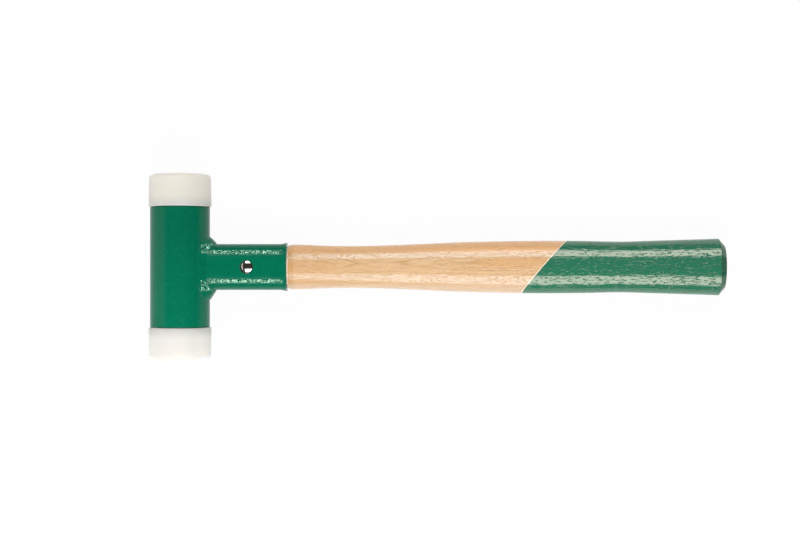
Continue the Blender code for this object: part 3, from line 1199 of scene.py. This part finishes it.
@dataclass
class ChamberPlate:
    """A steel disc on a shoulder of the bore, which closes the shot chamber."""

    layout: Layout
    end: HeadEnd
    chamfer: float = 0.0004
    longest_span: float = 0.0015
    steps: int = 128

    def build(self, steel: bpy.types.Material) -> None:
        """Turn a chamfered disc that fills the node's box.

        Args:
            steel: The finish.
        """
        node = f"{self.end.word}_chamber_plate"
        low, high = (np.array(corner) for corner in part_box(node))
        radius, half = (high[0] - low[0]) / 2, (high[1] - low[1]) / 2
        rim = radius - self.chamfer
        section = densified(
            np.array(
                [
                    (0.0, half),
                    (rim, half),
                    (radius, half - self.chamfer),
                    (radius, self.chamfer - half),
                    (rim, -half),
                    (0.0, -half),
                ]
            ),
            self.longest_span,
        )
        points = turned(tuple((low + high) / 2), TurnedAbout.HEAD, section[:, 0], section[:, 1], self.steps)
        plate = skin(f"{self.end.word}_chamber_disc", points, [steel])
        deliver(plate, "hammer_body", [node])


@dataclass
class ShotCharge:
    """The loose steel balls in the chamber."""

    count: int = 36
    rows: int = 15
    columns: int = 24

    def build(self, steel: bpy.types.Material) -> None:
        """Put one round grid at the middle of every ball's box.

        Args:
            steel: The finish.
        """
        nodes = [f"shot_ball_{number:02d}" for number in range(1, self.count + 1)]
        boxes = np.array([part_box(node) for node in nodes])
        radius = (boxes[:, 1, 2] - boxes[:, 0, 2]).mean() / 2
        slope = np.linspace(0.0, math.pi, self.rows)
        across, up = radius * np.sin(slope), radius * np.cos(slope)
        ball = turned((0.0, 0.0, 0.0), TurnedAbout.PIN, across, up, self.columns)
        balls = boxes.mean(axis=1)[:, None, None, :] + ball
        deliver(skin("steel_shot", balls, [steel]), "shot_charge", nodes)


@dataclass
class HandleSocket:
    """The oval sleeve: its foot follows the tube and its mouth is belled."""

    layout: Layout
    squareness: float = 3.0
    wall: float = 0.0022
    bell_length: float = 0.0055
    bell_growth: float = 0.0018
    bell_power: float = 2.4
    lip_round: float = 0.0004
    gloss_middle: float = 0.0092
    gloss_half: float = 0.0013
    gloss_shift: float = 0.0005
    gloss_start: float = 0.0208
    gloss_end: float = 0.0658
    lip_steps: int = 6
    spans: int = 110
    columns: int = 200
    samples: int = 14400

    @property
    def width(self) -> float:
        """The sleeve's width before its bell."""
        return self.layout.socket_width - self.bell_growth

    @property
    def thickness(self) -> float:
        """The sleeve's thickness before its bell."""
        return self.layout.socket_thickness - self.bell_growth

    def outline(self, turn: np.ndarray) -> tuple[np.ndarray, np.ndarray]:
        """How far across and how far up the plain oval lies at angles round it."""
        across, up = superellipse(turn, self.squareness)
        return across * self.width / 2, up * self.thickness / 2

    def rows(self) -> np.ndarray:
        """How the section runs: outside to the mouth, over the rounded lip, and back inside.

        The bell grows with a power of the way along it.

        Returns:
            Rows of (share of the way from foot to mouth, growth outside the plain oval).
        """
        mouth = self.layout.socket_mouth
        length = mouth - self.layout.tube_radius
        share = np.linspace(0.0, 1.0 - self.lip_round / length, self.spans)
        bell = np.clip((share - 1.0) * length / self.bell_length + 1.0, 0.0, 1.0)
        outside = np.column_stack([share, 0.5 * self.bell_growth * bell**self.bell_power])
        lip = arc((0.5 * self.bell_growth - self.lip_round, 1.0), self.lip_round, 0, 90, self.lip_steps)
        over = np.column_stack([1.0 + (lip[:, 1] - 1.0 - self.lip_round) / length, lip[:, 0]])
        back = np.linspace(1.0, 0.0, self.spans // 2)
        inside = np.column_stack([back, np.full(len(back), -self.wall)])
        return np.concatenate([outside, over[1:], inside])

    def build(self, paint: bpy.types.Material, gloss: bpy.types.Material, cutter: bpy.types.Object) -> None:
        """Loft the sleeve from the tube to its mouth and drill it for the pin.

        Args:
            paint: The finish of its middle and sides.
            gloss: The finish along its corners, where the coat ran thick.
            cutter: The drill.
        """
        turn = even_round(self.columns, self.outline, self.samples)
        across, up = superellipse(turn, self.squareness)
        share, growth = (part[:, None] for part in self.rows().T)
        y = across * (self.width / 2 + growth)
        z = up * (self.thickness / 2 + growth)
        foot = np.sqrt(self.layout.tube_radius**2 - z**2)
        reach = foot + share * (self.layout.socket_mouth - foot)
        points = np.stack([reach, y, z], axis=-1) + np.array(self.layout.head)
        glossy = np.abs(np.abs(y - self.gloss_shift) - self.gloss_middle) < self.gloss_half
        glossy = glossy & (reach > self.gloss_start) & (reach < self.gloss_end)
        socket = skin("painted_socket", points, [paint, gloss], ring=True, slots=glossy)
        drill(socket, cutter)
        deliver(socket, "hammer_body", ["handle_socket"])


@dataclass
class WeldBead:
    """The fillet weld round the foot of the socket, flat from toe to toe with low ripples."""

    layout: Layout
    socket: HandleSocket
    side_leg: float = 0.0048
    top_leg: float = 0.0029
    low_spread: float = 0.5
    sink: float = 0.0003
    sink_power: int = 4
    ripple_count: int = 38
    ripple_height: float = 0.00006
    ripple_lag: float = 1.6
    ripple_wander: float = 2.0
    uneven_leg: float = 0.00010
    uneven_crown: float = 0.00004
    waves: tuple[tuple[int, float, float], ...] = ((5, 1.1, 1.0), (9, 0.4, 0.8), (14, 0.0, 0.6))
    gloss_from: Point = (0.0148, 0.0085, 0.0060)
    gloss_to: Point = (0.0300, 0.0152, 0.0200)
    rows: int = 17
    columns: int = 480

    def wobble(self, round_turn: np.ndarray) -> np.ndarray:
        """How unevenly the bead was laid: a sum of sines, each with a count, a lead and a size."""
        return sum(size * np.sin(count * round_turn + lead) for count, lead, size in self.waves)

    def rise(self, round_turn: np.ndarray, share: np.ndarray) -> np.ndarray:
        """How far the bead stands above a flat fillet.

        A ripple is a sine round the oval that lags at both toes, so each pass is a crescent. It is
        highest halfway, with 4 s (1 - s), and both toes sink under what they join.

        Args:
            round_turn: The way round the oval, as an angle for each column.
            share: The share s of the way from the toe on the tube to the toe on the socket, by rows.

        Returns:
            A height for each row and column.
        """
        wobble = self.wobble(round_turn)
        hump = 4.0 * share * (1.0 - share)
        lag = self.ripple_lag * (2.0 * share - 1.0) ** 2
        ripple = np.sin(self.ripple_count * round_turn + lag + self.ripple_wander * wobble)
        crown = self.ripple_height * ripple + self.uneven_crown * wobble
        return hump * crown - (1.0 - hump) ** self.sink_power * self.sink

    def points(self) -> np.ndarray:
        """The rows of a flat fillet, from the tube to the socket, and one row behind it.

        The leg is side n_y^2 + top n_z^2 for the outward direction n, and it spreads farther on the tube
        where n_y is below 0.

        Returns:
            Points as (rows, columns, 3), about the axis of the head.
        """
        y, z = self.socket.outline(even_round(self.columns, self.socket.outline, self.socket.samples))
        along_y, along_z = (np.roll(part, -1) - np.roll(part, 1) for part in (y, z))
        length = np.hypot(along_y, along_z)
        out_y, out_z = along_z / length, -along_y / length
        round_turn = np.arange(self.columns) * FULL_TURN / self.columns
        leg = self.side_leg * out_y**2 + self.top_leg * out_z**2
        leg = leg + self.uneven_leg * self.wobble(round_turn)
        spread = leg * (1.0 + self.low_spread * np.maximum(-out_y, 0.0))
        toe_y, toe_z = y + spread * out_y, z + spread * out_z
        radius = self.layout.tube_radius
        toe_x = np.sqrt(radius**2 - np.minimum(np.abs(toe_z), radius - self.sink) ** 2)
        toe = np.stack([toe_x, toe_y, toe_z], axis=-1)
        root = np.stack([np.sqrt(radius**2 - z**2), y, z], axis=-1)
        top = root + leg[:, None] * (1.0, 0.0, 0.0)
        out = np.stack([np.ones(self.columns), out_y, out_z], axis=-1)
        share = np.linspace(0.0, 1.0, self.rows)[:, None]
        lift = math.sqrt(0.5) * self.rise(round_turn, share)
        face = toe + share[..., None] * (top - toe) + lift[..., None] * out
        return np.concatenate([face, (root - self.sink * out)[None]])

    def build(self, paint: bpy.types.Material, gloss: bpy.types.Material) -> None:
        """Carry the fillet round the oval and dress its corners.

        Args:
            paint: The finish of its middle and sides.
            gloss: The finish at its corners.
        """
        points = self.points()
        off_head = np.abs(points)
        glossy = ((off_head > self.gloss_from) & (off_head < self.gloss_to)).all(axis=-1)
        placed = points + np.array(self.layout.head)
        weld = skin("weld_bead", placed, [paint, gloss], ring=True, slots=glossy)
        deliver(weld, "hammer_body", ["socket_weld"])


@dataclass
class HandlePin:
    """The polished pin through the socket, with domed ends whose tops sit a little off its axis."""

    layout: Layout
    dome_radius: float = 0.0080
    dome_shift: tuple[float, float] = (0.0007, 0.0005)
    rim_round: float = 0.0003
    hole_gap: float = 0.0003
    bit_half: float = 0.03
    dome_rings: int = 24
    rim_rings: int = 6
    steps: int = 96

    def build(self, steel: bpy.types.Material) -> None:
        """Lay rings over a dome and its rounded rim, then the same below.

        A dome falls by R - sqrt(R^2 - d^2) at a distance d from its top.

        Args:
            steel: The finish.
        """
        radius, half = self.layout.pin_radius, self.layout.pin_half
        rim_start = radius - self.rim_round
        flat = np.linspace(0.0, rim_start, self.dome_rings + 1)
        rim = arc((rim_start, -self.rim_round), self.rim_round, 90, 0, self.rim_rings)[1:]
        size = np.concatenate([flat, rim[:, 0]])
        drop = np.concatenate([np.zeros(len(flat)), rim[:, 1]])
        end = turned((0.0, 0.0, half), TurnedAbout.PIN, size, drop, self.steps)
        off_top = end[..., :2] - np.array(self.dome_shift)
        end[..., 2] -= self.dome_radius - np.sqrt(self.dome_radius**2 - (off_top**2).sum(axis=-1))
        points = np.concatenate([end, (end * (1.0, 1.0, -1.0))[::-1]]) + np.array(self.centre())
        deliver(skin("polished_pin", points, [steel]), "hammer_body", ["handle_pin"])

    def centre(self) -> Point:
        """The middle of the pin."""
        x, y, z = self.layout.head
        return (x + self.layout.pin_reach, y, z)

    def drill_bit(self) -> bpy.types.Object:
        """A cutter that runs clear through the socket and the handle.

        Returns:
            The cutter, a plain cylinder round the pin's axis.
        """
        radius, half = self.layout.pin_radius + self.hole_gap, self.bit_half
        section = np.array([(0.0, half), (radius, half), (radius, -half), (0.0, -half)])
        points = turned(self.centre(), TurnedAbout.PIN, section[:, 0], section[:, 1], self.steps)
        return skin("pin_drill", points, [])


@dataclass
class Handle:
    """The hickory handle: a tenon in the socket, a shoulder, a waisted grip and a dipped butt."""

    layout: Layout
    edge: DipEdge
    socket: HandleSocket
    tenon_play: float = 0.0003
    tenon_end_gap: float = 0.0010
    tenon_chamfer: float = 0.0010
    shoulder_gap: float = 0.0004
    shoulder_chamfer: float = 0.0008
    film: float = 0.00010
    edge_step: float = 0.00010
    edge_spread: float = 0.040
    butt_chamfer: float = 0.0040
    butt_slope: float = 0.0024
    butt_crown: float = 0.0012
    row_pitch: float = 0.0011
    chamfer_rings: int = 6
    crown_rings: int = 14
    lean_rounds: int = 4
    columns: int = 144
    samples: int = 7200
    stations: tuple[tuple[float, float, float], ...] = (
        (0.0720, 0.0287, 0.0234),
        (0.0780, 0.0286, 0.0230),
        (0.0900, 0.0276, 0.0212),
        (0.1050, 0.0269, 0.0198),
        (0.1280, 0.0275, 0.0196),
        (0.1540, 0.0295, 0.0206),
        (0.1800, 0.0318, 0.0219),
        (0.2050, 0.0330, 0.0227),
        (0.2310, 0.0336, 0.0231),
        (0.2570, 0.0333, 0.0229),
        (0.2820, 0.0324, 0.0224),
        (0.3070, 0.0338, 0.0234),
        (0.3330, 0.0354, 0.0246),
        (0.3447, 0.0362, 0.0251),
    )

    def row_reaches(self) -> np.ndarray:
        """Where the rows of the grip cross the handle's middle, three of them at the paint's edge.

        Returns:
            Reaches, from the neck to the butt.
        """
        first, last, middle = self.stations[0][0], self.stations[-1][0], self.edge.middle
        before = np.arange(first, middle - self.row_pitch / 2, self.row_pitch)
        after = np.arange(last, middle + self.row_pitch / 2, -self.row_pitch)[::-1]
        return np.concatenate([before, [middle - self.edge_step, middle, middle + self.edge_step], after])

    def directions(self) -> np.ndarray:
        """The directions that the columns of the handle face, spaced evenly round the butt.

        Returns:
            Angles from +Y.
        """
        _, width, thickness = self.stations[-1]
        oval = partial(four_arcs, width=width, thickness=thickness)
        return even_round(self.columns, oval, self.samples)

    def grip_points(self) -> np.ndarray:
        """The grip, whose rows lean over to lie along the edge of the paint.

        A row at reach d sits at d + (slant y + tilt z) w, where w = exp(-((d - middle) / spread)^2), so
        the rows at the edge follow it and those far off are square. Paint past the edge adds its film.

        Returns:
            Points as (rows, columns, 3), about the axis of the head.
        """
        stations = np.array(self.stations)
        middle = self.edge.middle
        row = self.row_reaches()
        lean = np.exp(-(((row - middle) / self.edge_spread) ** 2))[:, None]
        film = np.where(row > middle + self.edge_step / 2, self.film, 0.0)[:, None, None]
        reach = np.repeat(row[:, None], self.columns, axis=1)
        for _ in range(self.lean_rounds):
            size = smooth_through(stations, reach) + 2 * film
            y, z = four_arcs(self.directions(), size[..., 0], size[..., 1])
            reach = row[:, None] + lean * (self.edge.slant * y + self.edge.tilt * z)
        return np.stack([reach, y, z], axis=-1)

    def butt_points(self) -> np.ndarray:
        """The butt: a chamfer, then a low crown that rises with 1 - s^2 as the outline shrinks by s.

        Returns:
            Points as (rows, columns, 3), about the axis of the head.
        """
        start, width, thickness = self.stations[-1]
        crown_start = self.layout.butt - self.butt_crown
        inward = np.linspace(0.0, 1.0, self.chamfer_rings + 1)[1:]
        chamfer_reach = start + (crown_start - start) * inward
        share = np.linspace(1.0, 0.0, self.crown_rings + 1)[1:]
        crown_reach = crown_start + self.butt_crown * (1.0 - share**2)
        reach = np.concatenate([chamfer_reach, crown_reach])[:, None]
        half_width, half_thickness = width / 2 + self.film, thickness / 2 + self.film
        end_width, end_thickness = half_width - self.butt_chamfer, half_thickness - self.butt_slope
        y_size = np.concatenate([half_width - self.butt_chamfer * inward, end_width * share])[:, None]
        z_size = np.concatenate([half_thickness - self.butt_slope * inward, end_thickness * share])[:, None]
        y, z = four_arcs(self.directions(), 2 * y_size, 2 * z_size)
        return np.stack([np.broadcast_to(reach, y.shape), y, z], axis=-1)

    def tenon_points(self) -> np.ndarray:
        """The tenon inside the socket and the shoulder outside its mouth, with chamfered edges.

        Returns:
            Points as (rows, columns, 3), about the axis of the head.
        """
        play = 2 * (self.socket.wall + self.tenon_play)
        width, thickness = self.socket.width - play, self.socket.thickness - play
        start = self.layout.tube_radius + self.tenon_end_gap
        shoulder = self.layout.socket_mouth + self.shoulder_gap
        neck_width, neck_thickness = self.stations[0][1:]
        step = 2 * self.shoulder_chamfer
        chamfer = 2 * self.tenon_chamfer
        sizes = np.array(
            [
                (start, 0.0, 0.0),
                (start, width - chamfer, thickness - chamfer),
                (start + self.tenon_chamfer, width, thickness),
                (shoulder, width, thickness),
                (shoulder, neck_width - step, neck_thickness - step),
            ]
        )
        y, z = four_arcs(self.directions(), sizes[:, 1:2], sizes[:, 2:3])
        return np.stack([np.broadcast_to(sizes[:, :1], y.shape), y, z], axis=-1)

    def build(self, wood: bpy.types.Material, paint: bpy.types.Material, cutter: bpy.types.Object) -> None:
        """Join tenon, grip and butt into one skin, dress it by rows and drill it for the pin.

        Args:
            wood: The finish up to the edge of the paint.
            paint: The finish past it.
            cutter: The drill.
        """
        tenon = self.tenon_points()
        rows = np.concatenate([tenon, self.grip_points(), self.butt_points()])
        wood_rows = len(tenon) + np.count_nonzero(self.row_reaches() < self.edge.middle)
        painted = np.arange(len(rows) - 1) >= wood_rows
        handle = skin("dipped_handle", rows + np.array(self.layout.head), [wood, paint], slots=painted)
        drill(handle, cutter)
        deliver(handle, "hammer_body", ["handle"])


# Studio


@dataclass(frozen=True)
class Softbox:
    """A long lamp beside the hammer, level with its handle, which fills a slice of the sky."""

    name: str
    side: int
    off_vertical: float
    spread: float
    distance: float
    radiance: float
    left: float
    right: float

    def build(self, height: float) -> None:
        """Hang the lamp and turn it to the handle; its power is radiance times pi times area.

        Args:
            height: The height of the handle's axis.
        """
        lamp = bpy.data.lights.new(self.name, "AREA")
        lamp.shape = "RECTANGLE"
        lamp.size = self.right - self.left
        lamp.size_y = 2 * self.distance * math.tan(math.radians(self.spread) / 2)
        lamp.energy = self.radiance * math.pi * lamp.size * lamp.size_y
        made = bpy.data.objects.new(self.name, lamp)
        tilt = math.radians(self.off_vertical)
        across, up = self.distance * math.sin(tilt), self.distance * math.cos(tilt)
        made.location = ((self.left + self.right) / 2, self.side * across, height + up)
        made.rotation_euler = (-self.side * tilt, 0.0, 0.0)
        made.visible_camera = False
        bpy.context.scene.collection.objects.link(made)


@dataclass
class Studio:
    """A white floor, pale walls, a dark ceiling, two softboxes and the camera."""

    layout: Layout
    floor_size: float = 12.0
    floor_gap: float = 0.0002
    floor_white: Colour = (0.88, 0.88, 0.88)
    floor_lift: float = 0.955
    floor_share: float = 0.045
    horizon: Colour = (0.80, 0.80, 0.80)
    wall: Colour = (0.050, 0.048, 0.046)
    ceiling: Colour = (0.030, 0.016, 0.012)
    card: Colour = (0.95, 0.93, 0.88)
    wall_span: Span = (0.02, 0.07)
    ceiling_span: Span = (0.10, 0.40)
    card_side: Span = (-0.68, -0.76)
    card_foot: Span = (0.00, 0.04)
    card_head: Span = (0.66, 0.58)
    camera_height: float = 0.95
    camera_reach: float = 0.14095
    camera_y: float = 0.0003
    lens: float = 66.7
    sensor: float = 36.0

    def floor_slope(self) -> float:
        """How the floor leans so that the hammer lies on both faces and on its butt."""
        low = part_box("handle")[0][2]
        return float(low) / self.layout.butt

    def build_floor(self) -> None:
        """A large plane that touches the faces and the butt; its shadow is kept but made pale."""
        slope = self.floor_slope()
        half = self.floor_size / 2
        x = np.array([-half, half, half, -half])
        y = np.array([-half, -half, half, half])
        z = (x - self.layout.head[0]) * slope - self.floor_gap
        mesh = bpy.data.meshes.new("studio_floor")
        mesh.from_pydata(np.column_stack([x, y, z]).tolist(), [], [(0, 1, 2, 3)])
        floor = bpy.data.objects.new("studio_floor", mesh)
        bpy.context.scene.collection.objects.link(floor)
        mesh.materials.append(self.floor_finish())

    def floor_finish(self) -> bpy.types.Material:
        """Matt white that the camera and reflections see lifted to white, shadow and all.

        Returns:
            The material.
        """
        recipe = Recipe.for_material("floor_white")
        path = recipe.node("ShaderNodeLightPath", {}, {}).socket.node
        direct, mirrored, through = (
            Signal(recipe, path.outputs[f"Is {kind} Ray"]) for kind in ("Camera", "Glossy", "Transmission")
        )
        seen = direct.at_least(mirrored).at_least(through)
        matt = recipe.node("ShaderNodeBsdfDiffuse", {}, {"Color": self.floor_white})
        faint = recipe.node("ShaderNodeBsdfDiffuse", {}, {"Color": (self.floor_share,) * 3})
        glow = recipe.node("ShaderNodeEmission", {}, {"Strength": self.floor_lift})
        lifted = recipe.node("ShaderNodeAddShader", {}, {0: faint, 1: glow})
        mixed = recipe.node("ShaderNodeMixShader", {}, {0: seen, 1: matt, 2: lifted})
        out = recipe.tree.nodes["Material Output"]
        recipe.tree.links.new(mixed.socket, out.inputs["Surface"])
        recipe.tree.nodes.remove(recipe.tree.nodes["Principled BSDF"])
        return recipe.owner

    def build_room(self) -> None:
        """A world pale along the horizon, dim above it and dark overhead, with a card past the head."""
        recipe = Recipe(bpy.data.worlds.new("studio_room"))
        place = recipe.node("ShaderNodeTexCoord", {}, {}, "Generated")
        across, _, height = recipe.axes(place)
        low = recipe.mix(height.ramp(*self.wall_span), self.horizon, self.wall)
        room = recipe.mix(height.ramp(*self.ceiling_span), low, self.ceiling)
        on_card = across.ramp(*self.card_side) * height.ramp(*self.card_foot) * height.ramp(*self.card_head)
        room = recipe.mix(on_card, room, self.card)
        recipe.feed(recipe.tree.nodes["Background"], {"Color": room})
        bpy.context.scene.world = recipe.owner

    def build_camera(self) -> None:
        """The photograph's camera, straight above and looking down, with +Y up in the image."""
        lens = bpy.data.cameras.new("photo_camera")
        lens.lens = self.lens
        lens.sensor_fit = "HORIZONTAL"
        lens.sensor_width = self.sensor
        camera = bpy.data.objects.new("photo_camera", lens)
        x, y, z = self.layout.head
        camera.location = (x + self.camera_reach, y + self.camera_y, z + self.camera_height)
        bpy.context.scene.collection.objects.link(camera)
        bpy.context.scene.camera = camera

    def build(self) -> None:
        """Set up the floor, the room, the lamps, the camera and the plain view transform."""
        self.build_floor()
        self.build_room()
        upper = Softbox(
            "upper_softbox",
            side=1,
            off_vertical=41.0,
            spread=20.0,
            distance=1.60,
            radiance=6.3,
            left=-0.80,
            right=0.56,
        )
        lower = Softbox(
            "lower_softbox",
            side=-1,
            off_vertical=40.5,
            spread=27.0,
            distance=0.70,
            radiance=6.1,
            left=-0.42,
            right=0.38,
        )
        for softbox in (upper, lower):
            softbox.build(self.layout.head[2])
        self.build_camera()
        bpy.context.scene.view_settings.view_transform = "Standard"


def main() -> None:
    """Load the frame, build the hammer piece by piece and set it in the studio."""
    logging.basicConfig(level=logging.INFO, format="%(message)s")
    for old in list(bpy.data.objects):
        bpy.data.objects.remove(old, do_unlink=True)
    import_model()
    layout = Layout.from_frame()
    edge = DipEdge(layout.head)
    grain = Grain(layout.head)
    # The tube's coat has painted shade, darker towards +Y.
    tube_paint = Enamel("tube_enamel", roughness=0.26, shine=0.17, fall=0.17).make()
    socket_paint = Enamel(
        "socket_enamel", colour=SOCKET_GREEN, roughness=0.20, shine=0.22, dimple_height=0.000080
    ).make()
    socket_gloss = Enamel(
        "socket_gloss",
        roughness=0.05,
        index=1.66,
        shine=1.0,
        tint=GLOSS_TINT,
        dimple_height=0.00060,
        calm_share=0.1,
    ).make()
    weld_gloss = Enamel(
        "weld_gloss",
        roughness=0.05,
        index=2.0,
        shine=1.0,
        tint=WELD_TINT,
        dimple_size=0.0016,
        dimple_height=0.0024,
    ).make()
    nylon = Nylon(layout.head[0], layout.tube_half).make()
    bare_steel = Steel("bare_steel").make()
    pin_steel = Steel(
        "pin_steel", colour=(0.66, 0.62, 0.58), roughness=0.12, metal=0.97, scratch_size=0.0009
    ).make()
    shot_steel = Steel("shot_steel", colour=(0.48, 0.48, 0.49), roughness=0.28).make()
    neck_x = layout.head[0] + Handle.stations[0][0]
    mouth_x = layout.head[0] + layout.socket_mouth
    wood = Hickory(grain, edge, mouth_x, neck_x).make()
    dipped_paint = GrainPaint(grain, edge, layout.head[0] + layout.butt).make()

    HeadTube(layout).build(tube_paint, bare_steel)
    for end in HeadEnd:
        SoftFace(layout, end).build(nylon)
        ChamberPlate(layout, end).build(bare_steel)
    ShotCharge().build(shot_steel)
    pin = HandlePin(layout)
    pin.build(pin_steel)
    bit = pin.drill_bit()
    socket = HandleSocket(layout)
    socket.build(socket_paint, socket_gloss, bit)
    WeldBead(layout, socket).build(socket_paint, weld_gloss)
    Handle(layout, edge, socket).build(wood, dipped_paint, bit)
    bpy.data.objects.remove(bit, do_unlink=True)
    Studio(layout).build()


if __name__ == "__main__":
    main()
